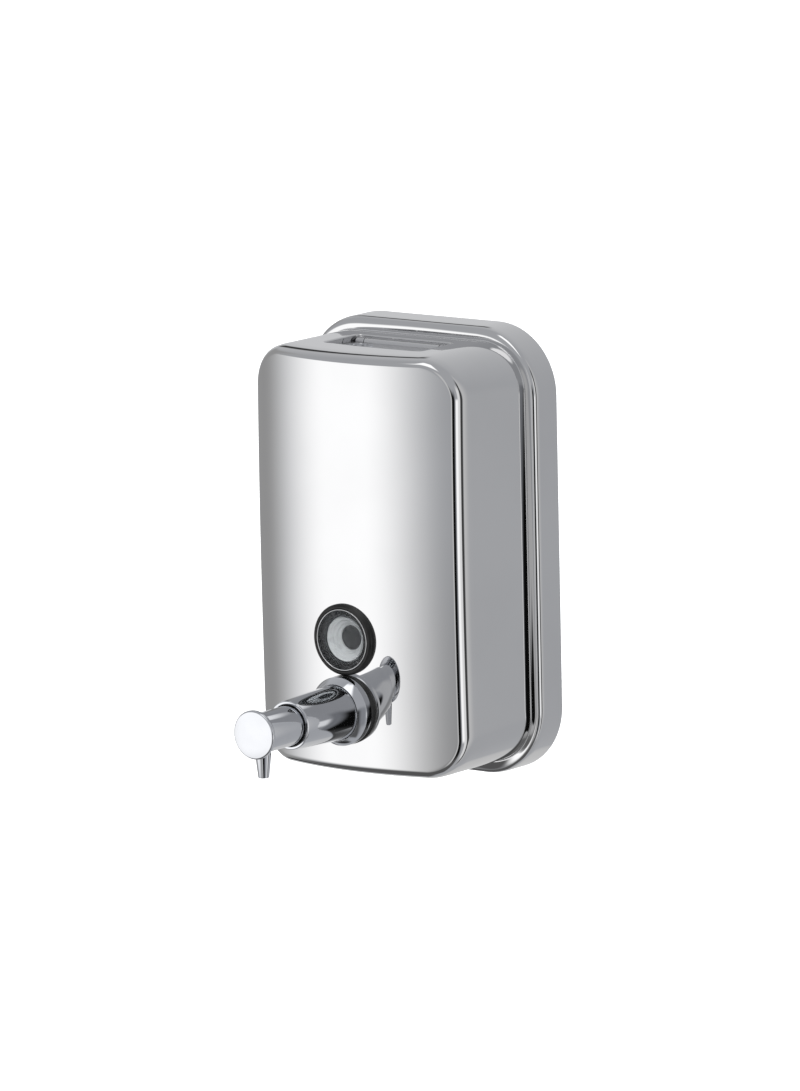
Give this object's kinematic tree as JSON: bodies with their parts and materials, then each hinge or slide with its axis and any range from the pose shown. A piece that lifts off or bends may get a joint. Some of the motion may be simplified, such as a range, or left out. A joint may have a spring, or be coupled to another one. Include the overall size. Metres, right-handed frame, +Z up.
{
  "type": "wall mounted soap dispenser",
  "caption": "Polished steel wall soap dispenser: bowed tank with rounded rim, round sight glass, push valve with spout, and a hinged lid in the top.",
  "frame": {"origin": "centre of the four wall screw holes, on the wall plane at the back of the bracket", "axes": "+X to the right seen from the front, -Y out of the wall towards the user, +Z up"},
  "size_m": [0.1186, 0.1358, 0.19],
  "materials": {
    "polished_steel": "mirror-polished stainless steel sheet",
    "plain_steel": "mill-finish stainless steel",
    "zinc_steel": "zinc-plated pressed steel",
    "chrome_brass": "chrome-plated turned brass",
    "black_rubber": "moulded black rubber",
    "clear_plastic": "clear moulded acrylic",
    "white_plastic": "moulded white acetal",
    "milky_plastic": "moulded natural polypropylene",
    "spring_steel": "stainless spring wire",
    "ball_steel": "polished stainless balls"
  },
  "bodies": {
    "wall": {"wall_bracket": "zinc_steel"},
    "tank": {"tank_shell": "polished_steel", "back_plate": "plain_steel", "hanger_plate": "plain_steel", "hinge_ears": "plain_steel", "hinge_pin": "plain_steel", "lid_gasket": "black_rubber", "sight_gasket": "black_rubber", "sight_lens": "clear_plastic", "sight_washer": "black_rubber", "sight_nut": "white_plastic", "valve_gasket": "black_rubber", "valve_collar": "chrome_brass", "valve_barrel": "chrome_brass", "valve_washer": "black_rubber", "valve_nut": "white_plastic", "guide_bush": "white_plastic", "pump_cylinder": "milky_plastic", "cylinder_cap": "white_plastic", "inlet_housing": "milky_plastic", "strainer": "white_plastic", "return_spring": "spring_steel"},
    "lid": {"filler_lid": "polished_steel", "lock_housing": "chrome_brass", "lock_ring_nut": "chrome_brass"},
    "lock": {"lock_plug": "chrome_brass", "lock_cam": "plain_steel", "cam_screw": "zinc_steel"},
    "plunger": {"plunger_sleeve": "chrome_brass", "plunger_core": "white_plastic", "push_button": "chrome_brass", "spout": "chrome_brass", "stop_ring": "white_plastic", "piston_rod": "white_plastic", "piston": "white_plastic", "piston_seal": "black_rubber"},
    "inlet_check": {"inlet_ball": "ball_steel"},
    "outlet_check": {"outlet_ball": "ball_steel"}
  },
  "joints": [
    {"name": "tank_lift", "type": "slide", "parent": "wall", "child": "tank", "axis": [0, 0, 1], "range_m": [0, 0.014]},
    {"name": "lid_hinge", "type": "hinge", "parent": "tank", "child": "lid", "pos_m": [0, -0.027, 0.086], "axis": [-1, 0, 0], "range_deg": [0, 100]},
    {"name": "lid_lock", "type": "hinge", "parent": "lid", "child": "lock", "pos_m": [-0.0144, -0.0387, 0.084], "axis": [0, 0, -1], "range_deg": [0, 90]},
    {"name": "plunger_push", "type": "slide", "parent": "tank", "child": "plunger", "axis": [0, 1, 0], "range_m": [0, 0.013], "stiffness_N_per_m": 450, "springref_m": -0.009, "deforming": ["return_spring"]},
    {"name": "inlet_ball_lift", "type": "slide", "parent": "tank", "child": "inlet_check", "axis": [0, 0, 1], "range_m": [0, 0.0014]},
    {"name": "outlet_ball_lift", "type": "slide", "parent": "plunger", "child": "outlet_check", "axis": [0, -1, 0], "range_m": [0, 0.0014]}
  ]
}
